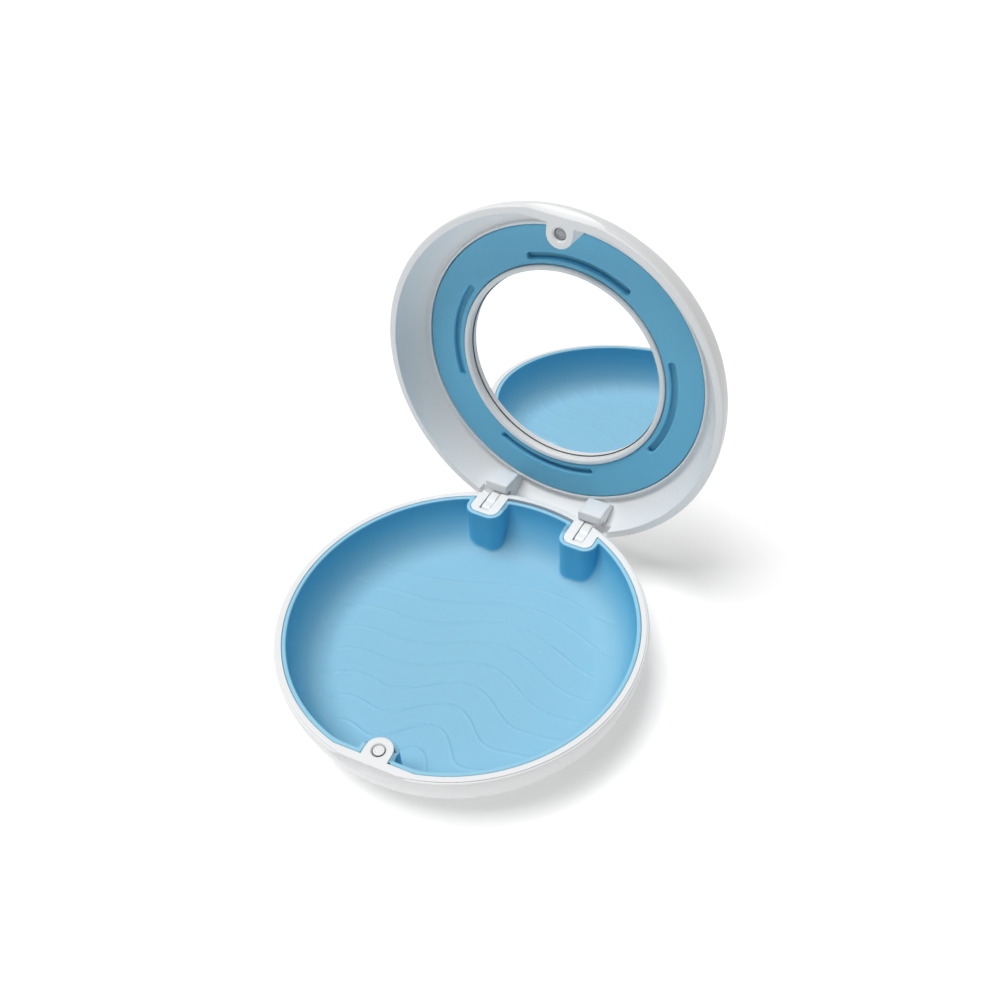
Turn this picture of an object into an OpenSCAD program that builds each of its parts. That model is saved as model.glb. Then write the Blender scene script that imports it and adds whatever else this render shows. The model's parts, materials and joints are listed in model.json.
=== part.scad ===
// Round hinged denture case: a bowl with a silicone liner, a domed lid with a mirror, two pinned hinge
// towers and a magnetic closure. It stands open, as in use. Origin: centre of the foot, on the table.
// +Z is up, +Y points to the hinge and -Y to the thumb notch. All lengths are in millimetres.

/* [Case] */
// Outer diameter of both rims
case_d = 90; // [84:1:100]
// Height of the base, from foot to rim
base_h = 16; // [15:0.5:18]
// Height of the lid, from rim to roof
lid_h = 13.6; // [13:0.1:17]
// How far the lid stands open
open_angle = 96.2; // [85:0.1:97]
// Gap between the two rims when the case is closed
seam_gap = 0.3; // [0.2:0.05:0.5]

/* [Shells] */
// Width of both rims
rim_w = 1.9; // [1.6:0.1:2.2]
// Thickness of the base's floor
floor_t = 1.6; // [1.4:0.1:2]
// Thickness of the lid's roof
roof_t = 1.3; // [1.2:0.1:1.6]
// Radius of the base's side, upright at the rim
base_side_r = 20; // [18:0.5:22]
// Radius that turns the base's side into its foot
base_foot_r = 5; // [3:0.5:6]
// Radius between the inside wall and the floor
floor_corner_r = 10; // [8:0.5:11]
// Radius that rounds the lid from wall to roof
lid_corner_r = 12.8; // [11:0.1:13.5]
// Width of the fine step along the outer edge of the base's rim
rim_step_w = 0.6; // [0.3:0.1:0.9]
// Depth of that step
rim_step_h = 0.2; // [0.1:0.05:0.3]
// Chamfer along the outer edge of both rims
rim_chamfer = 0.3; // [0.1:0.05:0.4]

/* [Base liner] */
// Thickness of the silicone liner
liner_t = 1; // [0.8:0.1:1.4]
// Gap between the liner and the wall it lines
liner_gap = 0.1; // [0.05:0.05:0.3]
// Extra gap behind the liner between the hinge towers
back_gap = 0.8; // [0.4:0.1:1.2]
// Top of the liner round the magnet boss, below the rim
boss_wrap_drop = 1.9; // [1:0.1:3]

/* [Hinge] */
// Distance of each hinge tower from the centre line
hinge_x = 13.7; // [12.5:0.1:16]
// Hinge axis inside the outer diameter
hinge_in = 4.84; // [4.4:0.02:5.4]
// Hinge axis below the rim
hinge_drop = 1.9; // [1.9:0.05:2.4]
// Width of a hinge tower
tower_w = 8; // [7:0.1:9]
// Front of a hinge tower ahead of the hinge axis
tower_reach = 6; // [5.8:0.1:7.5]
// Radius of the tower's upright corners
tower_corner_r = 2.2; // [1:0.1:2.6]
// Diameter of the steel hinge pins
pin_d = 1.5; // [1.2:0.1:1.8]
// Width of the lid's tongue in the tower's slot
tongue_w = 2.4; // [2:0.1:3]
// Gap on each side of the tongue
tongue_gap = 0.25; // [0.15:0.05:0.4]
// Radius of the tongue round its pin
knuckle_r = 1.85; // [1.6:0.05:1.85]
// Reach of the tongue's tail from the pin
tail_reach = 4.2; // [3.6:0.1:4.4]
// Width of the tail
tail_w = 2.8; // [2.4:0.1:3.2]
// Width of the lid's hinge arms
arm_w = 6.3; // [5:0.1:7]
// Inner face of the arms ahead of the hinge axis
arm_ahead = 5; // [4.4:0.1:5.2]
// Slope at the arms' roots, beside the ring
arm_slope = 1.5; // [1.2:0.1:2]

/* [Thumb notch and magnets] */
// Turn of the notch and magnets off the hinge's centre line
latch_turn = 3.5; // [0:0.5:4]
// Radius of the thumb groove in each shell
groove_r = 2.6; // [2.4:0.1:3.2]
// Deepest line of the groove away from the case's axis, less than the outer radius by
groove_depth = 1.2; // [1:0.05:1.4]
// Deepest line of the groove away from its rim
groove_drop = 0.6; // [0.4:0.1:0.9]
// Wall left behind the groove
groove_wall = 1.9; // [1.7:0.1:2.2]
// Diameter of the magnets
magnet_d = 3; // [2:0.5:4]
// Thickness of the magnets
magnet_t = 2; // [1:0.5:3]
// Magnet centre inside the outer diameter
magnet_in = 5.3; // [5:0.1:6]
// Radius of the bosses that hold the magnets
boss_r = 3.3; // [2.8:0.1:3.8]
// Lid magnet's face below its boss
lid_magnet_drop = 0.8; // [0.4:0.1:1.2]

/* [Mirror] */
// Diameter of the mirror
mirror_d = 54.4; // [50:0.2:56]
// Thickness of the mirror
mirror_t = 1; // [0.8:0.1:1.3]
// Width of the foam tape ring that holds the mirror
tape_w = 6; // [4:0.5:9]
// Outer edge of the tape ring inside the mirror's edge
tape_in = 3; // [2:0.5:5]
// Width of the bezel's upright ring
bezel_w = 1.3; // [1:0.1:1.6]
// Bezel above the silicone ring
bezel_proud = 0.5; // [0.2:0.1:0.8]

/* [Lid ring] */
// Outer diameter of the lid's silicone ring
ring_d = 74.8; // [72:0.2:76]
// Thickness of the lid's silicone ring
ring_t = 1.6; // [1.4:0.1:2]
// Gap around the lid's silicone ring
ring_gap = 0.2; // [0.1:0.05:0.4]
// Depth of the ring's face below the lid's rim
ring_depth = 8.5; // [8:0.1:9]
// Lip round the ring, above the ring's face
lip_step = 0.3; // [0.1:0.1:0.5]
// Width of that lip
lip_w = 0.5; // [0.4:0.1:0.8]
// Depth of the channel between the lip and the lid's wall
channel_depth = 0.8; // [0.4:0.1:1]
// Number of slots in the ring
slot_count = 4; // [3:1:5]
// Angle that each slot spans
slot_span = 50; // [40:1:55]
// Width of each slot
slot_w = 1.7; // [1.2:0.1:2]
// Turn of the slots off the hinge's centre line
slot_turn = 7; // [0:1:15]

/* [Hidden] */
$fn = 96;

// clearances
pin_press = 0.01;
pin_run = 0.05;
magnet_fit = 0.05;
part_gap = 0.1;
swing_gap = 0.4;
stop_gap = 0.3;
over = 1;
// Two arcs that blend cross by this much, so that they meet at a clear point
arc_cross = 0.005;

// case
case_r = case_d / 2;
rim_z = base_h;
side_r = max(base_side_r, base_h + 2);
lid_round = min(lid_corner_r, lid_h - 0.5);
cavity_r = case_r - rim_w;

// hinge
hinge_y = case_r - hinge_in;
hinge_z = rim_z - hinge_drop;
lid_axis_z = -(hinge_drop + seam_gap);
slot_wide = tongue_w + 2 * tongue_gap;
tail_end = tail_reach + swing_gap;
pin_inset = 0.2;
pin_l = tower_w - 2 * pin_inset;
// The rim's back edge, seen from the hinge axis, sets how high the lid must clear it
rim_reach = norm([sqrt(pow(case_r, 2) - pow(hinge_x - arm_w / 2, 2)) - hinge_y, hinge_drop]);
arm_lift = rim_reach + stop_gap;
relief_lift = sqrt(pow(norm([hinge_in, hinge_drop]) + stop_gap, 2) - pow(hinge_in - rim_w, 2));
relief_start = 0.65;
relief_half = sqrt(pow(case_r, 2) - pow(hinge_y + relief_start, 2));
// The arm's foot starts this far ahead of the hinge axis, so that the open lid clears the base's rim
foot_low = open_angle > 90 ? arm_lift : -lid_axis_z;
foot_back = (hinge_drop + stop_gap - foot_low * cos(open_angle)) / sin(open_angle);

// thumb notch and magnets
groove_y = case_r - groove_depth + groove_r;
flat_y = case_r - groove_depth - groove_wall;
magnet_y = case_r - magnet_in;
bore_r = magnet_d / 2 + magnet_fit;
mouth_h = 0.3;

// lid, in its own frame: rim plane at zero, roof up
lip_z = ring_depth - lip_step;
channel_z = lip_z + channel_depth;
lip_in = ring_d / 2 + ring_gap;
seat_z = ring_depth + ring_t;
roof_z = lid_h - roof_t;
mirror_r = mirror_d / 2;
mirror_front = seat_z + part_gap;
// The tape takes up what is left between the mirror and the roof
tape_t = roof_z - mirror_front - mirror_t;
bezel_out = mirror_r + part_gap + ring_gap;
bezel_in = bezel_out - bezel_w;
flange_w = 1.2;
flange_t = 0.5;
recess_r = mirror_r + ring_gap;
rib_w = 1.4;
pocket_in = recess_r + rib_w;
pocket_out = ring_d / 2 - rib_w;
slot_edge = 0.3;
slot_r = bezel_out + flange_w + slot_edge + slot_w / 2;
corner_fillet = 1.6;

white = [0.95, 0.96, 0.96];
blue = [0.38, 0.71, 0.88];
lid_blue = [0.34, 0.62, 0.77];
steel = [0.72, 0.73, 0.75];

// shared forms

// Half profile of a bowl with its rim at rim_z and its flat at height z: an arc of radius side, upright at
// the rim, meets an arc of radius foot, which meets the flat. It may run on above the rim.
module bowl_profile(r, z, side, foot, above = 0) {
    c = [r - side, rim_z];
    f = [c.x + sqrt(pow(side - foot + arc_cross, 2) - pow(rim_z - z - foot, 2)), z + foot];
    far = 2 * side * (f - c) / norm(f - c);
    translate([0, z]) square([f.x, rim_z - z + above]);
    translate(f) circle(foot);
    intersection() {
        translate(c) circle(side);
        polygon([c, c + far, c + [2 * side, 0]]);
    }
    if (above > 0) translate([0, rim_z]) square([r, above]);
}

// Half profile of the lid's outside: rim down, roof up
module dome_profile() {
    c = lid_round;
    square([case_r - c, lid_h]);
    square([case_r, lid_h - c]);
    intersection() {
        translate([case_r - c, lid_h - c]) circle(c);
        square([case_r, lid_h]);
    }
}

// What the chamfer takes off a rim's outer corner, drawn from the corner
module rim_corner() {
    polygon([[-rim_chamfer - over, over], [over, -rim_chamfer - over], [over, over]]);
}

// Turns what is drawn at the front so that it sits over the thumb notch
module at_latch() {
    rotate([0, 0, latch_turn]) children();
}

// Cuts children off at a flat wall, depth away from the axis, on the thumb notch's side
module flat_front(depth) {
    difference() {
        children();
        at_latch() translate([-case_r, -depth - case_r, -over]) cube([case_d, case_r, base_h + 2 * over]);
    }
}

// Groove for the thumb, running across the front at height z
module thumb_groove(z) {
    at_latch() translate([-case_r / 2, -groove_y, z]) rotate([0, 90, 0]) cylinder(r = groove_r, h = case_r);
}

// Outline of the magnet boss: round end, straight sides out past the wall
module boss_outline(grow = 0) {
    translate([0, -magnet_y]) {
        circle(boss_r + grow);
        translate([-boss_r - grow, -magnet_in - over]) square([2 * (boss_r + grow), magnet_in + over]);
    }
}

// Outline of a hinge tower from above, y from the hinge axis: rounded front, straight sides out past the wall
module tower_outline(grow = 0) {
    w = tower_w + 2 * grow;
    f = tower_reach + grow;
    c = tower_corner_r + grow;
    back = hinge_in + over;
    for (s = [-1, 1]) translate([s * (w / 2 - c), c - f]) circle(c);
    translate([c - w / 2, -f]) square([w - 2 * c, f + back]);
    translate([-w / 2, c - f]) square([w, f - c + back]);
}

module at_towers() {
    for (s = [-1, 1]) translate([s * hinge_x, hinge_y, 0]) children();
}

// base

module base_outer() {
    rotate_extrude() difference() {
        bowl_profile(case_r, 0, side_r, base_foot_r);
        translate([case_r - rim_step_w, rim_z - rim_step_h]) square([rim_step_w + over, rim_step_h + over]);
        translate([case_r, rim_z - rim_step_h]) rim_corner();
    }
}

module base_cavity() {
    flat_front(flat_y) rotate_extrude()
        bowl_profile(cavity_r, floor_t, side_r - rim_w, floor_corner_r, 2 * over);
}

// Side view of the tower's slot, from the hinge axis: y to the right, z up
module slot_side() {
    intersection() {
        circle(tail_end);
        translate([-tail_end, -tail_end]) square([tail_end, 2 * tail_end]);
    }
    translate([-tail_end, 0]) square([tail_end + over, hinge_drop + over]);
    translate([-over, -tail_end]) square([over + tail_w / 2 + swing_gap, tail_end + hinge_drop + over]);
    translate([-over, -knuckle_r - 2 * swing_gap])
        square([hinge_in + 2 * over, knuckle_r + 2 * swing_gap + hinge_drop + over]);
}

// Stands a side view up in the YZ plane, with its thickness across x
module side_plate(t) {
    rotate([90, 0, 90]) translate([0, 0, -t / 2]) linear_extrude(t) children();
}

module base_shell() {
    color(white) difference() {
        base_outer();
        difference() {
            base_cavity();
            at_towers() translate([0, 0, -over]) linear_extrude(rim_z + over) tower_outline();
            at_latch() translate([0, 0, -over]) linear_extrude(rim_z + over) boss_outline();
        }
        translate([0, 0, hinge_z]) at_towers() side_plate(slot_wide) slot_side();
        for (s = [-1, 1]) translate([s * hinge_x, hinge_y, hinge_z]) rotate([0, -s * 90, 0])
            translate([0, 0, -pin_l / 2]) cylinder(d = pin_d + 2 * pin_press, h = pin_l + tower_w);
        at_latch() translate([0, -magnet_y, rim_z - magnet_t - part_gap])
            cylinder(r = bore_r, h = magnet_t + over);
        at_latch() translate([0, -magnet_y, rim_z - mouth_h])
            cylinder(r1 = bore_r, r2 = bore_r + mouth_h + over, h = mouth_h + over);
        thumb_groove(rim_z - groove_drop);
    }
}

// The liner's outer and inner faces: grow is how far inside the cavity the face lies
module liner_face(grow) {
    module face(inset) {
        rotate_extrude() bowl_profile(cavity_r - grow - inset, floor_t + grow - liner_gap,
            side_r - rim_w - grow, floor_corner_r - grow, 2 * over);
    }
    flat_front(flat_y - grow) {
        difference() {
            face(0);
            between_towers();
        }
        intersection() {
            face(back_gap);
            between_towers();
        }
    }
}

module between_towers() {
    translate([-hinge_x, 0, -over]) cube([2 * hinge_x, case_r, base_h + 4 * over]);
}

module base_liner() {
    color(blue) difference() {
        liner_face(liner_gap);
        difference() {
            liner_face(liner_gap + liner_t);
            at_towers() linear_extrude(rim_z + over) tower_outline(liner_gap + liner_t);
            at_latch() linear_extrude(rim_z - boss_wrap_drop) boss_outline(liner_gap + liner_t);
        }
        at_towers() translate([0, 0, -over]) linear_extrude(rim_z + 2 * over) tower_outline(liner_gap);
        at_latch() translate([0, 0, -over]) linear_extrude(rim_z + 2 * over) boss_outline(liner_gap);
        translate([0, 0, rim_z]) cylinder(r = case_r, h = 2 * over + base_h);
    }
}

module base_magnet() {
    color(steel) at_latch() translate([0, -magnet_y, rim_z - part_gap - magnet_t]) magnet();
}

module magnet() {
    bevel = 0.2;
    cylinder(d = magnet_d, h = magnet_t - bevel);
    translate([0, 0, magnet_t - bevel]) cylinder(d1 = magnet_d, d2 = magnet_d - 2 * bevel, h = bevel);
}

module hinge_pin(side) {
    color(steel) translate([side * hinge_x - pin_l / 2, hinge_y, hinge_z]) rotate([0, 90, 0])
        cylinder(d = pin_d, h = pin_l);
}

// lid

// Swings children from the lid's own frame, rim down and roof up, to where the open lid stands
module opened() {
    translate([0, hinge_y, hinge_z]) rotate([-open_angle, 0, 0])
        translate([0, -hinge_y, -lid_axis_z]) children();
}

module lid_outer() {
    rotate_extrude() difference() {
        dome_profile();
        translate([case_r, 0]) mirror([0, 1]) rim_corner();
    }
}

// Half profile of the lid's inside: the wall, the fillet into the channel, and the lip that is left
module lid_wall_profile() {
    c = [case_r - lid_round, lid_h - lid_round];
    r = lid_round - rim_w;
    f_z = channel_z - corner_fillet;
    f = [c.x + sqrt(pow(r - corner_fillet + arc_cross, 2) - pow(f_z - c.y, 2)), f_z];
    touch = c + (r + over) * (f - c) / norm(f - c);
    difference() {
        intersection() {
            translate([0, -over]) square([cavity_r, channel_z + over]);
            union() {
                translate([0, -over]) square([cavity_r, c.y + over]);
                translate([0, -over]) square([c.x, lid_h]);
                translate(c) circle(r);
            }
        }
        polygon([f, touch, [touch.x, channel_z + over], [f.x, channel_z + over]]);
        lip_profile();
    }
    difference() {
        translate(f) circle(corner_fillet);
        lip_profile();
    }
}

module lip_profile() {
    out = lip_in + lip_w;
    low = channel_z + over;
    polygon([[lip_in - over, lip_z], [out, lip_z], [out + lip_w, low], [lip_in - over, low]]);
}

module lid_cavity() {
    difference() {
        rotate_extrude() lid_wall_profile();
        at_latch() translate([-case_r, -flat_y - case_r, -2 * over]) cube([case_d, case_r, lid_h + 2 * over]);
    }
    translate([0, 0, -over]) cylinder(r = lip_in, h = seat_z + over);
    cylinder(r = recess_r, h = roof_z);
    rotate_extrude() {
        mid = (pocket_in + pocket_out) / 2;
        translate([pocket_in, 0]) square([mid - rib_w / 2 - pocket_in, roof_z]);
        translate([mid + rib_w / 2, 0]) square([pocket_out - mid - rib_w / 2, roof_z]);
    }
}

module tongue_side() {
    circle(knuckle_r);
    translate([0, tail_w / 2 - tail_reach]) circle(tail_w / 2);
    translate([-tail_w / 2, tail_w / 2 - tail_reach]) square([tail_w, tail_reach - tail_w / 2]);
    translate([-knuckle_r, 0]) square([2 * knuckle_r, arm_lift + over]);
}

// Side view of an arm, from the hinge axis: its foot comes down to the rim's plane ahead of the axis
module arm_side() {
    slope_z = lip_z - lid_axis_z;
    root_z = channel_z + over - lid_axis_z;
    back = hinge_in + over;
    polygon([[-arm_ahead, -lid_axis_z], [-arm_ahead, slope_z - arm_slope], [arm_slope - arm_ahead, slope_z],
             [arm_slope - arm_ahead, root_z], [back, root_z], [back, arm_lift], [-foot_back, arm_lift],
             [-foot_back, -lid_axis_z]]);
}

module arms() {
    difference() {
        intersection() {
            translate([0, 0, lid_axis_z]) at_towers() side_plate(arm_w) arm_side();
            lid_outer();
        }
        translate([0, 0, lip_z]) cylinder(r = lip_in, h = lid_h);
    }
}

module lid_shell() {
    color(white) opened() {
        difference() {
            union() {
                difference() {
                    lid_outer();
                    difference() {
                        lid_cavity();
                        at_latch() linear_extrude(lid_h) boss_outline();
                    }
                    translate([-relief_half, 0, -over])
                        cube([2 * relief_half, case_d, over + lid_axis_z + relief_lift]);
                }
                arms();
            }
            at_latch() translate([0, -magnet_y, -over])
                cylinder(r = bore_r, h = over + lid_magnet_drop + magnet_t);
            at_latch() translate([0, -magnet_y, -over])
                cylinder(r1 = bore_r + mouth_h + over, r2 = bore_r, h = mouth_h + over);
            thumb_groove(groove_drop);
        }
        difference() {
            translate([0, 0, lid_axis_z]) at_towers() side_plate(tongue_w) tongue_side();
            translate([-case_r, hinge_y, lid_axis_z]) rotate([0, 90, 0])
                cylinder(d = pin_d + 2 * pin_run, h = case_d);
        }
    }
}

// Profile of the silicone ring: soft edges on its face, cut back below for the bezel's flange
module ring_profile() {
    r_in = bezel_out + ring_gap;
    r_out = ring_d / 2;
    soft = 0.5;
    difference() {
        translate([r_in, 0]) square([r_out - r_in, ring_t]);
        translate([r_in - over, ring_t - flange_t - part_gap])
            square([over + flange_w + part_gap, flange_t + over]);
        for (e = [[r_in + soft, -1], [r_out - soft, 1]]) translate([e.x, soft]) difference() {
            translate([e.y > 0 ? 0 : -soft - over, -soft - over]) square(soft + over);
            circle(soft);
        }
    }
}

module ring_slot() {
    half = slot_span / 2;
    translate([0, 0, ring_depth - over]) {
        rotate([0, 0, -half]) rotate_extrude(angle = slot_span)
            translate([slot_r - slot_w / 2, 0]) square([slot_w, ring_t + 2 * over]);
        for (s = [-1, 1]) rotate([0, 0, s * half]) translate([slot_r, 0, 0])
            cylinder(d = slot_w, h = ring_t + 2 * over);
    }
}

module lid_ring() {
    color(lid_blue) opened() difference() {
        translate([0, 0, ring_depth]) rotate_extrude() ring_profile();
        for (i = [0 : slot_count - 1]) rotate([0, 0, slot_turn + i * 360 / slot_count]) ring_slot();
        at_latch() linear_extrude(lid_h) boss_outline(ring_gap);
    }
}

module mirror_bezel() {
    top_r = bezel_w / 3;
    color(white) opened() rotate_extrude() {
        translate([bezel_in, ring_depth - bezel_proud + top_r])
            square([bezel_w, seat_z - ring_depth + bezel_proud - top_r]);
        translate([bezel_in + top_r, ring_depth - bezel_proud]) square([bezel_w - 2 * top_r, top_r + 0.01]);
        for (x = [bezel_in + top_r, bezel_out - top_r])
            translate([x, ring_depth - bezel_proud + top_r]) circle(top_r);
        translate([bezel_out - 0.01, seat_z - flange_t]) square([flange_w, flange_t]);
    }
}

module mirror_glass() {
    color([0.85, 0.9, 0.92]) opened() translate([0, 0, mirror_front]) cylinder(r = mirror_r, h = mirror_t);
}

module mirror_tape() {
    outer = mirror_r - tape_in;
    color([0.3, 0.3, 0.32]) opened() translate([0, 0, roof_z - tape_t]) difference() {
        cylinder(r = outer, h = tape_t);
        translate([0, 0, -over]) cylinder(r = outer - tape_w, h = tape_t + 2 * over);
    }
}

module lid_magnet() {
    color(steel) opened() at_latch() translate([0, -magnet_y, lid_magnet_drop + magnet_t])
        mirror([0, 0, 1]) magnet();
}

base_shell();
base_liner();
base_magnet();
hinge_pin(-1);  // hinge_pin_left
hinge_pin(1);  // hinge_pin_right
lid_shell();
lid_ring();
mirror_bezel();
mirror_glass();
mirror_tape();
lid_magnet();
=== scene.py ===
# %% [markdown]
# # A round denture case, standing open
#
# The case is a white bowl and a white domed lid on a hinge. The bowl has a soft blue liner with a
# wavy floor, and the lid holds a small mirror inside a flat blue ring. The hard pieces arrive ready
# made, at their real size. This lesson gives them their finishes, models the soft pieces, and sets
# up a plain studio.

import json
import math

import bmesh
import bpy
import numpy as np
from mathutils import Matrix, Vector


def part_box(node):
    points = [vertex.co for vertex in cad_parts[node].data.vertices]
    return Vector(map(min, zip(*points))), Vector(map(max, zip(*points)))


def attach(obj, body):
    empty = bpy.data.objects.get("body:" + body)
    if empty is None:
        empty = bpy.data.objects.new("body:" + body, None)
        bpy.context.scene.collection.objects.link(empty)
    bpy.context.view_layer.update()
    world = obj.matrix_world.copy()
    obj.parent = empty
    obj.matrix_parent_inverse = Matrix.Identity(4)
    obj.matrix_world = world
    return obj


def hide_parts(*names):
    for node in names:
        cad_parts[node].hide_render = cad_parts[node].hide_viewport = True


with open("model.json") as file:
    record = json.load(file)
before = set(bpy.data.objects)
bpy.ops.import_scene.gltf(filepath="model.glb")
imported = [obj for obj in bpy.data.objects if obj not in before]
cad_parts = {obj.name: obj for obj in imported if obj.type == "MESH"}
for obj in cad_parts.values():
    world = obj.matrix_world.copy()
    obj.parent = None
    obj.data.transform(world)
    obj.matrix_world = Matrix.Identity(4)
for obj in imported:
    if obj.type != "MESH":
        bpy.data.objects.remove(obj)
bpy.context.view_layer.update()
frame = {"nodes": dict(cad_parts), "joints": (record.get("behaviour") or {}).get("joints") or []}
nodes = frame["nodes"]
MM = 0.001
print("pieces ready made:", ", ".join(sorted(nodes)))

# %% [markdown]
# ## Where the main lines of the case lie
#
# The soft pieces have to fit the hard ones, so their places come from the model itself. The rim's
# height and radius are read from the bowl, and the hinge line from the joint. The lid has a frame
# of its own: its rim lies at depth zero and its roof at the full depth. The lid is swung open by
# the joint's whole range, so one matrix takes a point from the closed lid to where it stands now.

# %% Rim, hinge line and the open lid's frame
rim_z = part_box("base_shell")[1].z / MM
case_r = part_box("base_shell")[1].x / MM
hinge = frame["joints"][0]
hinge_y = hinge["pos_m"][1] / MM
hinge_z = hinge["pos_m"][2] / MM
opened = math.radians(hinge["range_deg"][1])
SEAM_GAP = 0.3
lid_axis = rim_z - hinge_z + SEAM_GAP

swing = Matrix.Translation((0, hinge_y * MM, hinge_z * MM)) @ Matrix.Rotation(-opened, 4, "X")
lid_place = swing @ Matrix.Translation((0, -hinge_y * MM, lid_axis * MM))
print(f"rim {rim_z:.1f} mm high, {case_r:.2f} mm in radius")
print(f"lid open by {math.degrees(opened):.1f} degrees")

# %% [markdown]
# ## The camera
#
# The picture was taken from the front right, high above the table, with the camera turned a little
# on its own axis. A camera looks along its own minus Z, so its matrix is built from three
# directions: right, up and back.

# %% Set the camera
VIEW_TURN = math.radians(31.77)
VIEW_HEIGHT = math.radians(43.77)
VIEW_ROLL = math.radians(-4.33)
VIEW_DISTANCE = 0.293
LOOK_AT = Vector((-0.01143, 0.04044, 0.016))
LENS_MM = 39.58
FILM_MM = 36
NEAREST_SEEN = 0.01

back = Vector((math.sin(VIEW_TURN) * math.cos(VIEW_HEIGHT),
               -math.cos(VIEW_TURN) * math.cos(VIEW_HEIGHT),
               math.sin(VIEW_HEIGHT)))
level_right = Vector((0, 0, 1)).cross(back).normalized()
level_up = back.cross(level_right)
right = level_right * math.cos(VIEW_ROLL) + level_up * math.sin(VIEW_ROLL)
up = level_up * math.cos(VIEW_ROLL) - level_right * math.sin(VIEW_ROLL)

camera = bpy.data.objects.new("camera", bpy.data.cameras.new("camera"))
bpy.context.scene.collection.objects.link(camera)
facing = Matrix((right, up, back)).transposed().to_4x4()
camera.matrix_world = Matrix.Translation(LOOK_AT + back * VIEW_DISTANCE) @ facing
camera.data.lens = LENS_MM
camera.data.sensor_width = FILM_MM
camera.data.clip_start = NEAREST_SEEN
bpy.context.scene.camera = camera
print("camera at", [round(v, 3) for v in camera.location])

# %% [markdown]
# ## The studio
#
# White goods are shown on white. A wide pale floor fills the view and glows a little, a faint
# even sky softens the shadows, and three large lamps give the forms their shape. Nearly all the
# light comes from the main lamp. It stands high on the left, so that the left inner walls fall
# into shade and the right ones catch the light.

# %% Floor, sky and lamps
FLOOR_SIDE = 6.0
FLOOR_WHITE = (0.96, 0.96, 0.96, 1)
FLOOR_ROUGHNESS = 0.7
FLOOR_GLOW = 0.25
SKY_TINT = (0.98, 0.99, 1.0, 1)
SKY_LIGHT = 0.15
CASE_MIDDLE = Vector((0, 0.02, 0.03))
# name, place in metres, side in metres, watts
SOFTBOXES = [("main_softbox", (-0.60, -0.20, 2.2), 1.5, 50.5),
             ("side_softbox", (0.8, -0.25, 0.45), 0.7, 0.15),
             ("front_softbox", (0.50, -1.40, 1.6), 1.2, 0.3)]


def floor_finish():
    finish = bpy.data.materials.new("studio_floor")
    finish.use_nodes = True
    shader = finish.node_tree.nodes["Principled BSDF"]
    shader.inputs["Base Color"].default_value = FLOOR_WHITE
    shader.inputs["Roughness"].default_value = FLOOR_ROUGHNESS
    shader.inputs["Emission Color"].default_value = (1, 1, 1, 1)
    shader.inputs["Emission Strength"].default_value = FLOOR_GLOW
    return finish


mesh = bpy.data.meshes.new("floor")
half = FLOOR_SIDE / 2
floor_corners = [(-half, -half, 0), (half, -half, 0), (half, half, 0), (-half, half, 0)]
mesh.from_pydata(floor_corners, [], [(0, 1, 2, 3)])
floor = bpy.data.objects.new("floor", mesh)
bpy.context.scene.collection.objects.link(floor)
floor.data.materials.append(floor_finish())

sky = bpy.data.worlds.new("sky")
sky.use_nodes = True
backdrop = sky.node_tree.nodes["Background"]
backdrop.inputs["Color"].default_value = SKY_TINT
backdrop.inputs["Strength"].default_value = SKY_LIGHT
bpy.context.scene.world = sky
bpy.context.scene.view_settings.view_transform = "Standard"


def lamp(name, place, side, watts):
    """A square softbox that faces the case."""
    light = bpy.data.lights.new(name, "AREA")
    light.size = side
    light.energy = watts
    box = bpy.data.objects.new(name, light)
    bpy.context.scene.collection.objects.link(box)
    box.location = place
    aim = CASE_MIDDLE - Vector(place)
    box.rotation_euler = aim.to_track_quat("-Z", "Y").to_euler()


for softbox in SOFTBOXES:
    lamp(*softbox)
print("studio ready")

# %% [markdown]
# ## Finishes
#
# Every finish starts from the same shader. What makes them differ is how rough they are, how much
# light goes into them, and a fine grain that comes from a noise texture. The grain is measured in
# real millimetres, because the texture reads each piece's own coordinates, and those are in metres.

# %% A helper for all finishes
MOTTLE_MM = 18
BEVEL_RAYS = 4


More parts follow.
